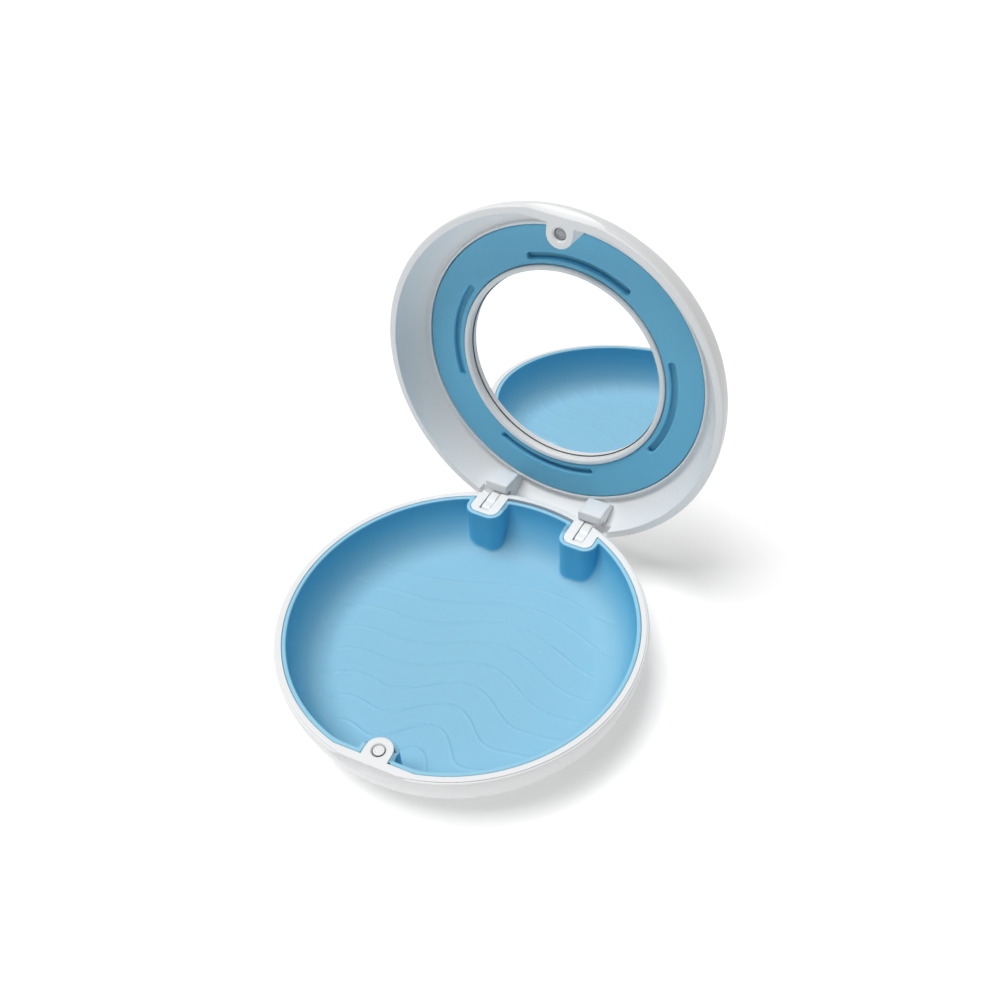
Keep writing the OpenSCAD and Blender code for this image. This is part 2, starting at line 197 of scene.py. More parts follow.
def grained(name, colour, roughness, grain_mm, grain_depth, mottle=0.02, rough_spread=0.05,
            edge_mm=0.0):
    """A finish with fine grain, faint changes of colour and shine, and softened edges."""
    finish = bpy.data.materials.new(name)
    finish.use_nodes = True
    tree = finish.node_tree
    shader = tree.nodes["Principled BSDF"]
    place = tree.nodes.new("ShaderNodeTexCoord")

    fine = tree.nodes.new("ShaderNodeTexNoise")
    fine.inputs["Scale"].default_value = 1 / (grain_mm * MM)
    fine.inputs["Detail"].default_value = 3
    tree.links.new(place.outputs["Object"], fine.inputs["Vector"])

    broad = tree.nodes.new("ShaderNodeTexNoise")
    broad.inputs["Scale"].default_value = 1 / (MOTTLE_MM * MM)
    broad.inputs["Detail"].default_value = 2
    tree.links.new(place.outputs["Object"], broad.inputs["Vector"])

    tone = tree.nodes.new("ShaderNodeMix")
    tone.data_type = "RGBA"
    tone.inputs["A"].default_value = (*[max(0, c - mottle) for c in colour], 1)
    tone.inputs["B"].default_value = (*[min(1, c + mottle) for c in colour], 1)
    tree.links.new(broad.outputs["Fac"], tone.inputs["Factor"])
    tree.links.new(tone.outputs["Result"], shader.inputs["Base Color"])

    shine = tree.nodes.new("ShaderNodeMapRange")
    shine.inputs["To Min"].default_value = max(0.0, roughness - rough_spread)
    shine.inputs["To Max"].default_value = roughness + rough_spread
    tree.links.new(fine.outputs["Fac"], shine.inputs["Value"])
    tree.links.new(shine.outputs["Result"], shader.inputs["Roughness"])

    relief = tree.nodes.new("ShaderNodeBump")
    relief.inputs["Strength"].default_value = 1.0
    relief.inputs["Distance"].default_value = grain_depth * MM
    tree.links.new(fine.outputs["Fac"], relief.inputs["Height"])
    if edge_mm > 0:
        soft_edge = tree.nodes.new("ShaderNodeBevel")
        soft_edge.samples = BEVEL_RAYS
        soft_edge.inputs["Radius"].default_value = edge_mm * MM
        tree.links.new(soft_edge.outputs["Normal"], relief.inputs["Normal"])
    tree.links.new(relief.outputs["Normal"], shader.inputs["Normal"])
    return finish, shader


def wear(piece, finish):
    """Gives a piece one finish all over."""
    piece.data.materials.clear()
    piece.data.materials.append(finish)

# %% [markdown]
# ## The white shells
#
# The bowl, the lid and the mirror's frame are moulded in one white plastic with a satin surface.
# Moulded edges are never razor sharp, so a bevel node rounds them in the shading by a fifth of a
# millimetre.

# %% White moulded plastic
def moulded_white(name, edge_mm):
    """The case's white plastic, with its edges rounded in the shading."""
    finish, shader = grained(name, (0.86, 0.87, 0.875), 0.38, 0.25, 0.002,
                             mottle=0.006, edge_mm=edge_mm)
    shader.inputs["Specular IOR Level"].default_value = 0.45
    return finish


def smooth_faces(piece, angle=35):
    """Round faces shade smoothly, and edges sharper than the angle stay crisp."""
    piece.data.polygons.foreach_set("use_smooth", [True] * len(piece.data.polygons))
    piece.data.set_sharp_from_angle(angle=math.radians(angle))


white_plastic = moulded_white("white_moulded_plastic", 0.2)
for name in ("base_shell", "lid_shell", "mirror_bezel"):
    wear(nodes[name], white_plastic)
    smooth_faces(nodes[name])
print("white plastic on the shells and the mirror's frame")

# %% [markdown]
# The two arms by the hinge flow into the lid with rounder edges than the rest. Their faces get the
# same plastic with a wider bevel in the shading. The shape itself stays as it is.

# %% Softer edges on the hinge arms
ARM_X = 13.7
ARM_HALF = 3.15
ARM_REACH = 5.0
ARM_TALL = 7.5
NEARLY = 0.05
arm_plastic = moulded_white("white_plastic_of_the_arms", 1.1)
lid_mesh = nodes["lid_shell"].data
lid_mesh.materials.append(arm_plastic)
closed = lid_place.inverted()
on_arms = 0
for face in lid_mesh.polygons:
    spot = closed @ face.center / MM
    beside = abs(abs(spot.x) - ARM_X) < ARM_HALF + NEARLY
    ahead = hinge_y - ARM_REACH - NEARLY < spot.y < hinge_y
    if beside and ahead and -NEARLY < spot.z < ARM_TALL:
        face.material_index = 1
        on_arms += 1
print(on_arms, "faces of the arms have softer edges")

# %% [markdown]
# ## Metal, mirror and tape
#
# The magnets are nickel plated, the hinge pins are plain steel wire, and the mirror is silvered
# glass, which in a render is simply a metal with almost no roughness. The foam tape behind it is
# hardly seen.

# %% Magnets, pins, mirror and tape
def metal(name, colour, roughness, grain_mm, grain_depth, metallic, **spread):
    finish, shader = grained(name, colour, roughness, grain_mm, grain_depth, **spread)
    shader.inputs["Metallic"].default_value = metallic
    return finish


nickel = metal("nickel_plate", (0.93, 0.93, 0.94), 0.3, 0.3, 0.001, 0.3)
wire = metal("steel_wire", (0.6, 0.61, 0.63), 0.3, 0.2, 0.001, 1.0)
# The lid's magnet is the same nickel, painted darker as painted shade.
nickel_painted_shade = metal("magnet_in_shade", (0.33, 0.34, 0.36), 0.35, 0.3, 0.001, 0.8)
# The magnets' bevel and side are painted near black as painted shade in the gap round them.
magnet_edge_painted_shade_finish = grained("magnet_edge_painted_shade", (0.10, 0.10, 0.11), 0.5, 0.3, 0.001)[0]
silvering = metal("silvered_glass", (0.98, 0.985, 0.99), 0.012, 2.0, 0.0, 1.0,
                  mottle=0.004, rough_spread=0.006)
foam = grained("foam_tape", (0.04, 0.04, 0.045), 0.9, 0.4, 0.05)[0]

for name, finish in (("hinge_pin_left", wire), ("hinge_pin_right", wire),
                     ("mirror_glass", silvering), ("mirror_tape", foam)):
    wear(nodes[name], finish)
    smooth_faces(nodes[name])
print("pins, mirror and tape finished")

# %% [markdown]
# ## Painted shade round the mirror
#
# Where the mirror meets its frame, a thin dark ring lies in the gap as painted shade. It is a small
# ring with a rounded face, so a half circle is carried round the axis.

# %% Lay the dark ring of painted shade
def carried_round(section, count):
    """Points and faces of a closed section of (radius, height) points, carried round the axis."""
    side = len(section)
    points = [(r * math.cos(a) * MM, r * math.sin(a) * MM, z * MM)
              for a in (2 * math.pi * k / count for k in range(count)) for r, z in section]
    faces = []
    for k in range(count):
        here, after = side * k, side * ((k + 1) % count)
        faces += [(here + j, here + (j + 1) % side, after + (j + 1) % side, after + j)
                  for j in range(side)]
    return points, faces


def placed(name, points, faces, place):
    """A piece from points in metres, moved by a matrix."""
    mesh = bpy.data.meshes.new(name)
    mesh.from_pydata(points, [], faces)
    mesh.transform(place)
    piece = bpy.data.objects.new(name, mesh)
    bpy.context.scene.collection.objects.link(piece)
    return piece


GAP_SHADE_R = 26.05
GAP_SHADE_W = 0.13
GAP_SHADE_STEPS = 6
GAP_SHADE_ROUND = 192
MIRROR_DEPTH = 10.2
gap_shade_section = [(GAP_SHADE_R + GAP_SHADE_W * math.cos(a), MIRROR_DEPTH - GAP_SHADE_W * math.sin(a))
                for a in (math.pi * k / GAP_SHADE_STEPS for k in range(GAP_SHADE_STEPS + 1))]
gap_shade_ring = placed("mirror_gap_painted_shade", *carried_round(gap_shade_section, GAP_SHADE_ROUND), lid_place)
# The ring's near black colour is painted shade in the gap between mirror and frame.
gap_shade_finish = grained("gap_painted_shade", (0.015, 0.015, 0.018), 0.35, 0.5, 0.01)[0]
wear(gap_shade_ring, gap_shade_finish)
smooth_faces(gap_shade_ring, 50)
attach(gap_shade_ring, "lid")
print("seal round the mirror:", len(gap_shade_ring.data.polygons), "faces")

# %% [markdown]
# ## The two magnets
#
# Each half of the case holds a small disc magnet, pushed into its boss. Its face has a fine turned
# circle, and its edge is bevelled and painted dark as painted shade in the gap. A round piece like
# this is made as on a lathe: the half profile is carried round the axis. One function makes both
# magnets, and only their place and face finish differ: the lid's gets a darker nickel, painted
# shade.

# %% Turn the magnets
MAGNET_R = 1.5
MAGNET_T = 2.0
MAGNET_BEVEL = 0.2
BOWL_MAGNET_SINK = 0.1
LID_MAGNET_SINK = 0.8
MAGNET_PROFILE = [(0.0, 0.0), (0.78, 0.0), (0.86, -0.05), (0.94, 0.0),
                  (MAGNET_R - MAGNET_BEVEL, 0.0), (MAGNET_R, -MAGNET_BEVEL),
                  (MAGNET_R, -MAGNET_T), (0.0, -MAGNET_T)]
LATCH_TURN = math.radians(3.5)
BOSS_Y = case_r - 5.3
magnet_x, magnet_y = BOSS_Y * math.sin(LATCH_TURN), -BOSS_Y * math.cos(LATCH_TURN)


def turned(name, profile, place, count=72):
    """A closed round piece from its half profile, which starts and ends on the axis."""
    points = [(0, 0, profile[0][1] * MM)]
    for r, z in profile[1:-1]:
        points += [(r * math.cos(a) * MM, r * math.sin(a) * MM, z * MM)
                   for a in (2 * math.pi * k / count for k in range(count))]
    points.append((0, 0, profile[-1][1] * MM))
    faces = [(0, 1 + k, 1 + (k + 1) % count) for k in range(count)]
    for row in range(len(profile) - 3):
        first, second = 1 + row * count, 1 + (row + 1) * count
        faces += [(first + k, second + k, second + (k + 1) % count, first + (k + 1) % count)
                  for k in range(count)]
    last = 1 + (len(profile) - 3) * count
    faces += [(last + (k + 1) % count, last + k, len(points) - 1) for k in range(count)]
    return placed(name, points, faces, place)


def seat_magnet(name, place, face_finish, body, node):
    """Finishes the face, paints bevel and side as painted shade, and takes the ready-made magnet's
    place.
    """
    piece = turned(name, MAGNET_PROFILE, place)
    piece.data.materials.append(face_finish)
    piece.data.materials.append(magnet_edge_painted_shade_finish)
    axis = place.to_translation()
    edge = (MAGNET_R - MAGNET_BEVEL) * MM
    corners = piece.data.vertices
    # Faces past the start of the bevel take the painted shade.
    for face in piece.data.polygons:
        furthest = max((corners[i].co - axis).length for i in face.vertices)
        face.material_index = int(furthest > edge * 1.01)
    smooth_faces(piece, 20)
    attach(piece, body)
    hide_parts(node)
    return piece


def compare_boxes(node, piece):
    """Prints the box of a ready-made piece and of the one that takes its place, in millimetres."""
    low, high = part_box(node)
    corners = np.array([v.co for v in piece.data.vertices]) / MM
    print(node, "in the CAD", [round(v / MM, 2) for v in (*low, *high)],
          "modelled", [round(float(v), 2) for v in (*corners.min(0), *corners.max(0))])


magnet_up = Matrix.Translation((magnet_x * MM, magnet_y * MM, (rim_z - BOWL_MAGNET_SINK) * MM))
magnet_down = (lid_place @ Matrix.Translation((magnet_x * MM, magnet_y * MM, LID_MAGNET_SINK * MM))
               @ Matrix.Rotation(math.pi, 4, "X"))
base_magnet = seat_magnet("bowl_magnet", magnet_up, nickel, "base", "base_magnet")
lid_magnet = seat_magnet("lid_side_magnet", magnet_down, nickel_painted_shade, "lid", "lid_magnet")
compare_boxes("base_magnet", base_magnet)
compare_boxes("lid_magnet", lid_magnet)

# %% [markdown]
# ## Silicone
#
# Silicone is soft and dull, and light goes a little way into it. That is what makes its thin edges
# glow. The liner's blue is brighter than that of the lid's ring.

# %% A helper for silicone
def silicone(name, colour):
    finish, shader = grained(name, colour, 0.55, 0.2, 0.004, mottle=0.008)
    shader.subsurface_method = "RANDOM_WALK"
    shader.inputs["Subsurface Weight"].default_value = 0.25
    shader.inputs["Subsurface Radius"].default_value = (0.4, 1.0, 1.4)
    shader.inputs["Subsurface Scale"].default_value = 1.0 * MM
    shader.inputs["Specular IOR Level"].default_value = 0.35
    return finish

# %% [markdown]
# The liner's upright walls are painted a deeper blue than its floor, as painted shade, and its lip
# is painted palest, as painted light. Two smooth ramps blend the three blues: one reads how far a
# face looks up, the other its height.

# %% Blend the liner's three blues of painted light and shade
def mix_colour(tree, share, first, second, way="MIX"):
    """Mixes two colours, or two sockets, by a share."""
    mix = tree.nodes.new("ShaderNodeMix")
    mix.data_type = "RGBA"
    mix.blend_type = way
    for socket, value in (("Factor", share), ("A", first), ("B", second)):
        if isinstance(value, bpy.types.NodeSocket):
            tree.links.new(value, mix.inputs[socket])
        else:
            mix.inputs[socket].default_value = value if socket == "Factor" else (*value, 1)
    return mix.outputs["Result"]


def ramp_up(tree, value, low, high):
    """Runs from nought to one while a value climbs from low to high."""
    climb = tree.nodes.new("ShaderNodeMapRange")
    climb.interpolation_type = "SMOOTHSTEP"
    climb.inputs["From Min"].default_value = low
    climb.inputs["From Max"].default_value = high
    tree.links.new(value, climb.inputs["Value"])
    return climb.outputs["Result"]


def upright_part(tree, output):
    """The height of a place, or how far a face looks up, in the piece's own frame."""
    place = tree.nodes.new("ShaderNodeTexCoord")
    split = tree.nodes.new("ShaderNodeSeparateXYZ")
    tree.links.new(place.outputs[output], split.inputs["Vector"])
    return split.outputs["Z"]


# The wall blue is painted shade, and the floor and lip blues are painted light.
FLOOR_BLUE_PAINTED_LIGHT = (0.275, 0.56, 0.73)
WALL_BLUE_PAINTED_SHADE = (0.12, 0.51, 0.79)
LIP_BLUE_PAINTED_LIGHT = (0.32, 0.64, 0.83)
UPRIGHT, LYING = 0.02, 0.85
LIP_FADES, LIP_FULL = 0.45, 0.15
liner_blue_painted_shade = silicone("liner_silicone_painted_light_and_shade", (0.98, 0.98, 0.98))
tree = liner_blue_painted_shade.node_tree
shader = tree.nodes["Principled BSDF"]
mottle = shader.inputs["Base Color"].links[0].from_socket
# These two ramps are the masks of the painted shade on the walls and the painted light on the lip.
slope_share_painted_light = ramp_up(tree, upright_part(tree, "Normal"), UPRIGHT, LYING)
painted_light_and_shade_colour = mix_colour(tree, slope_share_painted_light, WALL_BLUE_PAINTED_SHADE, FLOOR_BLUE_PAINTED_LIGHT)
painted_light_near_lip = ramp_up(tree, upright_part(tree, "Object"),
                   (rim_z - LIP_FADES) * MM, (rim_z - LIP_FULL) * MM)
painted_light_and_shade_colour = mix_colour(tree, painted_light_near_lip, painted_light_and_shade_colour, LIP_BLUE_PAINTED_LIGHT)
tree.links.new(mix_colour(tree, 1.0, painted_light_and_shade_colour, mottle, "MULTIPLY"), shader.inputs["Base Color"])
ring_blue = silicone("lid_ring_silicone", (0.17, 0.53, 0.76))
# The slot floor's deeper blue is painted shade in the narrow slots.
slot_blue_painted_shade = silicone("lid_ring_slot_floor_painted_shade", (0.03, 0.24, 0.36))
print("liner shades on floor, wall and lip:", FLOOR_BLUE_PAINTED_LIGHT, WALL_BLUE_PAINTED_SHADE, LIP_BLUE_PAINTED_LIGHT)

# %% [markdown]
# ## The liner: its two faces as formulas
#
# The liner is a thin skin in the bowl. It follows the bowl's wall, lies flat across the front, and
# folds out round the two hinge towers and the magnet's boss. Cutting and joining solids would leave
# hard corners where silicone has soft ones. So each face is written as one formula: how much room
# is left between a point and the skin. The smooth minimum of the separate rooms rounds every inner
# corner by itself.

# %% Sizes that the liner shares with the bowl
RIM_W = 1.9
SIDE_R = 20.0
FLOOR_CORNER_R = 10.0
FLOOR_T = 1.6
LINER_GAP = 0.1
LINER_T = 1.0
BACK_GAP = 0.8
FLAT_Y = case_r - 1.2 - 1.9
BOSS_R = 3.3
WRAP_TOP = rim_z - 1.9
TOWER_X = 13.7
TOWER_HALF = 4.0
TOWER_REACH = 6.0
TOWER_CORNER = 2.2
BACK_FROM = 31.0
BACK_OVER = 3.0
BOSS_BLEND = 0.6


def smooth_min(a, b, blend):
    mix = np.clip(0.5 + 0.5 * (b - a) / blend, 0, 1)
    return b * (1 - mix) + a * mix - blend * mix * (1 - mix)


def bowl_room(r, z, inset, skin):
    """Room to the bowl's own wall and floor, seen in its half section."""
    wall_r = case_r - RIM_W - skin - inset
    side = SIDE_R - RIM_W - skin
    foot = FLOOR_CORNER_R - skin
    floor_z = FLOOR_T + skin - LINER_GAP
    side_x = wall_r - side
    foot_x = side_x + math.sqrt((side - foot) ** 2 - (rim_z - floor_z - foot) ** 2)
    foot_z = floor_z + foot
    room = z - floor_z
    to_side = side - np.hypot(r - side_x, np.minimum(z - rim_z, 0))
    room = np.where(r > side_x, np.minimum(room, to_side), room)
    below = (r - side_x) * (foot_z - rim_z) > (z - rim_z) * (foot_x - side_x)
    in_foot = (r > foot_x) & below
    return np.where(in_foot, foot - np.hypot(r - foot_x, z - foot_z), room)


def tower_room(x, y, skin):
    """Distance to the nearer tower's rounded outline, from above."""
    across = np.abs(np.abs(x) - TOWER_X) - (TOWER_HALF - TOWER_CORNER)
    ahead = (hinge_y - y) - (TOWER_REACH - TOWER_CORNER)
    outside = np.hypot(np.maximum(across, 0), np.maximum(ahead, 0))
    return outside + np.minimum(np.maximum(across, ahead), 0) - TOWER_CORNER - skin


def boss_room(x, y, skin):
    """Distance to the magnet boss's outline: a round nose with straight sides back to the wall."""
    return np.where(y < -BOSS_Y, np.abs(x), np.hypot(x, y + BOSS_Y)) - BOSS_R - skin


def room(x, y, z, skin, blend):
    """Room left in front of the liner's face that lies skin away from the bowl's wall."""
    turn_x = x * math.cos(LATCH_TURN) + y * math.sin(LATCH_TURN)
    turn_y = y * math.cos(LATCH_TURN) - x * math.sin(LATCH_TURN)
    behind = np.clip((y - BACK_FROM) / BACK_OVER, 0, 1) * (np.abs(x) < TOWER_X)
    left = bowl_room(np.hypot(x, y), z, BACK_GAP * behind, skin)
    left = smooth_min(left, FLAT_Y - skin + turn_y, blend)
    left = smooth_min(left, tower_room(x, y, skin), blend)
    return smooth_min(left, boss_room(turn_x, turn_y, skin), blend * BOSS_BLEND)


INNER_SKIN = LINER_GAP + LINER_T
CORNER_BLEND = 0.6
BACK_BLEND = 0.1


def inner_room(x, y, z):
    return room(x, y, z, INNER_SKIN, CORNER_BLEND)


def back_room(x, y, z):
    return room(x, y, z, LINER_GAP, BACK_BLEND)


def slope_of(x, y, z, step=0.02):
    """The direction in which the room grows fastest."""
    grad = np.stack([inner_room(x + step, y, z) - inner_room(x - step, y, z),
                     inner_room(x, y + step, z) - inner_room(x, y - step, z),
                     inner_room(x, y, z + step) - inner_room(x, y, z - step)])
    return grad / np.linalg.norm(grad, axis=0)


middle = np.array(0.0)
print(f"room over the middle of the floor: {float(inner_room(middle, middle, rim_z)):.2f} mm")

# %% [markdown]
# ## The liner: its rim line
#
# Seen from above, the liner's inner edge runs along the wall and dips in and out round the towers
# and the boss. The line is walked step by step: a step along the edge, then a small push back onto
# it. The steps are all the same length, so the line can be cut into any number of pieces later.

# %% Walk along the rim
RIM_STEP = 0.1
MOST_STEPS = 6000
PUSH = 0.9


def walk_rim(step=RIM_STEP):
    """Points of the inner edge at rim height, clockwise from the middle of the back."""
    here = np.array([0.0, case_r - RIM_W - INNER_SKIN - BACK_GAP])
    points = []
    for _ in range(MOST_STEPS):
        for _ in range(3):
            grow = slope_of(here[0], here[1], rim_z)[:2]
            here = here - grow * inner_room(here[0], here[1], rim_z) * PUSH
        if len(points) > 100 and np.linalg.norm(here - points[0]) < step * PUSH:
            break
        points.append(here)
        grow = slope_of(here[0], here[1], rim_z)[:2]
        here = here + np.array([-grow[1], grow[0]]) * step
    return np.array(points)


rim_line = walk_rim()
if rim_line[50, 0] < 0:
    rim_line = np.roll(rim_line[::-1], 1, axis=0)
print(len(rim_line), "steps along the rim line,", round(len(rim_line) * RIM_STEP), "mm")

# %% [markdown]
# ## The liner: spokes from the floor to the rim
#
# The mesh starts as a square grid in the middle of the floor, bent into a disc, so that no quads
# crowd together at the centre. From each point of the disc's edge a spoke runs outward and up the
# wall. Near the towers and the boss the spokes lean together, so that they also see the sides of
# those forms. Each spoke is cut by a fan of rays, and each ray is halved again and again until its
# end lies on the skin.

# %% Disc grid and spokes
GRID = 216
DISC_R = 22.0
LIP = 0.25
ROOT_IN_Y = 40.3
ROOT_OUT_Y = 37.6
BOSS_FOOT = 1.0
NOSE_FROM = 0.3
NOSE_OVER = 2.5
NEAR_BOSS = 0.6


def disc_points(count, radius):
    """A square grid of points bent into a disc."""
    u, v = np.meshgrid(np.linspace(-1, 1, count + 1), np.linspace(-1, 1, count + 1), indexing="ij")
    return radius * u * np.sqrt(1 - v * v / 2), radius * v * np.sqrt(1 - u * u / 2)


def edge_order(count):
    """The grid's edge points as (i, j), clockwise from the middle of the back."""
    top = [(i, count) for i in range(count // 2, count)]
    side = [(count, j) for j in range(count, 0, -1)]
    front = [(i, 0) for i in range(count, 0, -1)]
    far = [(0, j) for j in range(0, count)]
    rest = [(i, count) for i in range(0, count // 2)]
    return top + side + front + far + rest


def spokes():
    """Each spoke's start on the disc's edge, end on the rim line, and the height of its wall."""
    gx, gy = disc_points(GRID, DISC_R)
    order = edge_order(GRID)
    start = np.array([(gx[i, j], gy[i, j]) for i, j in order])
    bearing = np.unwrap(np.arctan2(start[:, 0], start[:, 1]))

    def place(x, y):
        return int(np.argmin(np.hypot(rim_line[:, 0] - x, rim_line[:, 1] - y)))

    root_in = (TOWER_X - TOWER_HALF - INNER_SKIN, ROOT_IN_Y)
    root_out = (TOWER_X + TOWER_HALF + INNER_SKIN, ROOT_OUT_Y)
    boss_root = (BOSS_R + INNER_SKIN + BOSS_FOOT, -FLAT_Y + INNER_SKIN)
    c, s = math.cos(LATCH_TURN), math.sin(LATCH_TURN)
    right_boss = (boss_root[0] * c - boss_root[1] * s, boss_root[1] * c + boss_root[0] * s)
    left_boss = (-boss_root[0] * c - boss_root[1] * s, boss_root[1] * c - boss_root[0] * s)
    # place on the rim line, bearing in degrees of the spoke that ends there
    knots = [(0, 0),
             (place(*root_in), 15), (place(*root_out), 64),
             (place(*right_boss), 164), (place(*left_boss), 196),
             (place(-root_out[0], root_out[1]), 296), (place(-root_in[0], root_in[1]), 345),
             (len(rim_line), 360)]
    along = np.interp(np.degrees(bearing), [k[1] for k in knots], [k[0] for k in knots])
    closed = np.vstack([rim_line, rim_line[:1]])
    index = np.arange(len(closed))
    end = np.stack([np.interp(along, index, closed[:, k]) for k in (0, 1)], axis=1)

    turn_x = end[:, 0] * c + end[:, 1] * s
    turn_y = end[:, 1] * c - end[:, 0] * s
    nose = np.clip((turn_y + BOSS_Y - NOSE_FROM) / NOSE_OVER, 0, 1)
    nose = nose * nose * (3 - 2 * nose) * (boss_room(turn_x, turn_y, INNER_SKIN) < NEAR_BOSS)
    top = rim_z + (WRAP_TOP - rim_z) * nose
    return gx, gy, order, start, end, top


grid_x, grid_y, edge, start, end, wall_top = spokes()
print(f"{len(start)} spokes; walls end between {wall_top.min():.1f} and {wall_top.max():.1f} mm")

# %% [markdown]
# Now every spoke is cut. The floor carries the fine ridges, so it gets its points closer together
# than the wall.

# %% Cut the skin along every spoke
SECTION_STEPS = 84
WALL_DENSITY = 0.45
FLOOR_BAND = 3
RAYS = 200
HALVINGS = 32


def sections():
    """Points (spoke, step, xyz) up the skin to just under the lip."""
    lean = end - start
    reach = np.linalg.norm(lean, axis=1)
    lean = lean / reach[:, None]
    base_z = wall_top - LIP
    fan = np.radians(np.linspace(-90, 0, RAYS))[None, :]
    out, down = np.cos(fan), np.sin(fan)
    far = np.minimum((reach[:, None] + 3) / np.maximum(out, 1e-6),
                     (base_z[:, None] - FLOOR_T + 1) / np.maximum(-down, 1e-6))
    near = np.zeros_like(far)
    for _ in range(HALVINGS):
        mid = (near + far) / 2
        x = start[:, :1] + lean[:, :1] * out * mid
        y = start[:, 1:] + lean[:, 1:] * out * mid
        free = inner_room(x, y, base_z[:, None] + down * mid) > 0
        near, far = np.where(free, mid, near), np.where(free, far, mid)
    x = start[:, :1] + lean[:, :1] * out * near
    y = start[:, 1:] + lean[:, 1:] * out * near
    z = base_z[:, None] + down * near
    dense = np.where(z < FLOOR_T + LINER_T + FLOOR_BAND, 1.0, WALL_DENSITY)
    weight = dense[:, 1:] + dense[:, :-1]
    step = np.sqrt(np.diff(x) ** 2 + np.diff(y) ** 2 + np.diff(z) ** 2) * weight / 2
    length = np.concatenate([np.zeros((len(x), 1)), np.cumsum(step, axis=1)], axis=1)
    cut = np.empty((len(x), SECTION_STEPS + 1, 3))
    for k in range(len(x)):
        even = np.linspace(0, length[k, -1], SECTION_STEPS + 1)
        cut[k] = np.stack([np.interp(even, length[k], c[k]) for c in (x, y, z)], axis=1)
    return cut


cut = sections()
print("section points:", cut.shape[:2])

# %% [markdown]
# ## The liner: the wavy floor
#
# Nine fine wavy ridges cross the floor, a little over seven millimetres apart. A sine wave and its
# double give their line, and both draw closer together towards the front. They stand a quarter of a
# millimetre proud, which is enough for the light to draw them, and they fade where the floor turns
# up into the wall.

# %% Ridges on the floor
RIDGE_H = 0.28
RIDGE_W = 0.85
RIDGE_STEP = 7.18
RIDGE_COUNT = 9
FIRST_RIDGE_Y = 23.5
RIDGE_LEAN = 0.111
RIDGE_SAG = 0.003
WAVE_SHIFT, SHIFT_BY_Y = 11.5, 0.18
WAVE_LENGTH, LENGTH_BY_Y = 72.4, 1.154
WAVE_HEIGHT, HEIGHT_BY_Y = 2.19, 0.02
SECOND_WAVE = 0.817


def ridge_level(x, y):
    """Counts the ridges from the back: on a ridge's crest this is a whole number."""
    phase = 2 * np.pi * (x + WAVE_SHIFT + SHIFT_BY_Y * y) / (WAVE_LENGTH + LENGTH_BY_Y * y)
    wave = (WAVE_HEIGHT - HEIGHT_BY_Y * y) * (np.sin(phase) - SECOND_WAVE * np.cos(2 * phase))
    return (FIRST_RIDGE_Y + RIDGE_LEAN * x - RIDGE_SAG * x * x + wave - y) / RIDGE_STEP


def ridge_height(x, y, step=0.05):
    """Height of the ridges above the plain floor."""
    level = ridge_level(x, y)
    climb = np.hypot(ridge_level(x + step, y) - ridge_level(x - step, y),
                     ridge_level(x, y + step) - ridge_level(x, y - step)) / (2 * step)
    line = np.round(level)
    off = np.abs(level - line) / climb / (RIDGE_W / 2)
    bump = np.where(off < 1, 0.5 + 0.5 * np.cos(np.pi * off), 0)
    return RIDGE_H * bump * ((line >= 0) & (line < RIDGE_COUNT))


def with_ridges(points):
    """Lifts floor points onto the ridges, fading where the wall begins."""
    floor_z = FLOOR_T + LINER_T
    fade = 1 - np.clip((points[..., 2] - floor_z - 1.0) / 2.0, 0, 1)
    lifted = points.copy()
    lifted[..., 2] += ridge_height(points[..., 0], points[..., 1]) * fade
    return lifted

# %% [markdown]
# ## The liner: one closed skin
#
# The faces are joined into one closed mesh: the disc, the walls, a rounded lip, and the back of the
# skin one millimetre behind. A closed mesh has a real thickness, so it can be printed or weighed as
# well as rendered.

# %% Build the liner
LIP_STEPS = 4
BACK_EVERY = 4


def build_mesh(name, points, faces):
    mesh = bpy.data.meshes.new(name)
    mesh.from_pydata([tuple(p) for p in np.asarray(points) * MM], [], faces)
    mesh.validate()
    mesh.update()
    piece = bpy.data.objects.new(name, mesh)
    bpy.context.scene.collection.objects.link(piece)
    return piece


def skin_depth(points, away):
    """How far behind each point the back face lies, found in steps as long as the room left."""
    depth = np.zeros(len(points))
    for _ in range(16):
        behind = points + away * depth[:, None]
        depth = depth + back_room(behind[:, 0], behind[:, 1], behind[:, 2])
    return np.clip(depth, LINER_T / 2, 2 * LINER_T)[:, None]


def liner_rows():
    """Rings of points from the disc's edge up the wall, over the lip and down the back."""
    crest = cut[:, -1]
    outward = -slope_of(crest[:, 0], crest[:, 1], crest[:, 2]).T
    outward[:, 2] = 0
    outward = outward / np.linalg.norm(outward, axis=1)[:, None]
    thick = skin_depth(crest, outward)
    rows = [with_ridges(cut[:, k]) for k in range(1, SECTION_STEPS + 1)]
    rise = np.array([0, 0, 1.0])
    for k in range(1, LIP_STEPS + 1):
        a = math.pi / 2 * k / LIP_STEPS
        rows.append(crest + outward * LIP * (1 - math.cos(a)) + rise * LIP * math.sin(a))
    for k in range(LIP_STEPS + 1):
        a = math.pi / 2 * k / LIP_STEPS
        rows.append(crest + outward * (thick - LIP * (1 - math.sin(a))) + rise * LIP * math.cos(a))
    for k in range(SECTION_STEPS - BACK_EVERY, -1, -BACK_EVERY):
        face = cut[:, k]
        away = -slope_of(face[:, 0], face[:, 1], face[:, 2]).T
        rows.append(face + away * skin_depth(face, away))
    return rows


